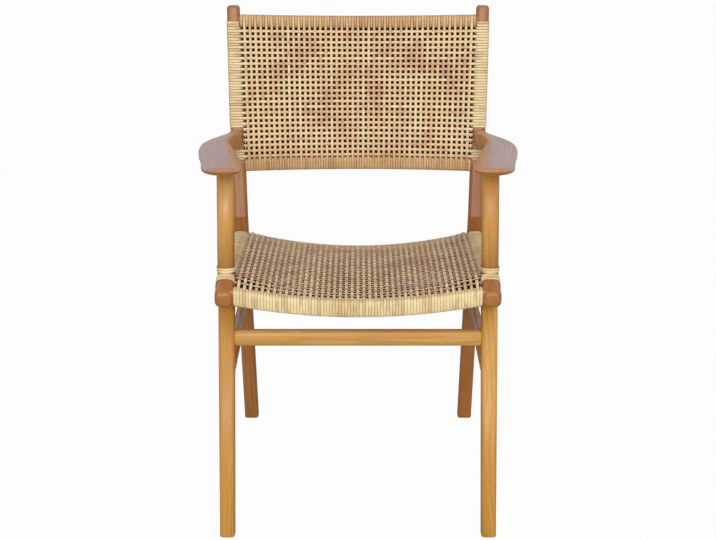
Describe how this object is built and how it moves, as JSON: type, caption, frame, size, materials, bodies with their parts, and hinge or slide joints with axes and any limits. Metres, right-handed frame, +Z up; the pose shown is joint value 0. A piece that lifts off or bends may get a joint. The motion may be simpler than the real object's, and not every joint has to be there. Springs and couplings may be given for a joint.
{
  "type": "armchair",
  "caption": "Open teak armchair with bowed paddle arms, raked back posts and a layered woven cane seat and back laced round dished rails.",
  "frame": {"origin": "on the floor, below the middle of the chair's box", "axes": "+Z up, -Y the way the sitter faces, +X towards the sitter's left"},
  "size_m": [0.549, 0.613, 0.8515],
  "materials": {
    "teak": "oiled teak, satin, straight grain along each member",
    "dowel_wood": "plain beech dowel, unfinished",
    "cane": "flat cane strands, honey, pale yellow and rose, low gloss"
  },
  "bodies": {
    "root": {"front_leg_right": "teak", "front_leg_left": "teak", "arm_post_right": "teak", "arm_post_left": "teak", "rear_leg_right": "teak", "rear_leg_left": "teak", "seat_side_rail_right": "teak", "seat_side_rail_left": "teak", "armrest_right": "teak", "armrest_left": "teak", "side_stretcher_right": "teak", "side_stretcher_left": "teak", "front_stretcher": "teak", "seat_front_rail": "teak", "seat_rear_rail": "teak", "back_top_rail": "teak", "back_bottom_rail": "teak", "leg_dowel_right": "dowel_wood", "leg_dowel_left": "dowel_wood", "arm_front_dowel_right": "dowel_wood", "arm_front_dowel_left": "dowel_wood", "arm_rear_dowel_right": "dowel_wood", "arm_rear_dowel_left": "dowel_wood", "seat_rail_dowel_right": "dowel_wood", "seat_rail_dowel_left": "dowel_wood", "back_side_wrap_right": "cane", "back_side_wrap_left": "cane", "seat_side_wrap_right": "cane", "seat_side_wrap_left": "cane", "front_lashing_right": "cane", "front_lashing_left": "cane", "seat_front_wrap": "cane", "seat_rear_wrap": "cane", "back_top_wrap": "cane", "back_bottom_wrap": "cane", "back_front_weave": "cane", "back_rear_weave": "cane", "seat_top_weave": "cane", "seat_bottom_weave": "cane"}
  },
  "joints": []
}
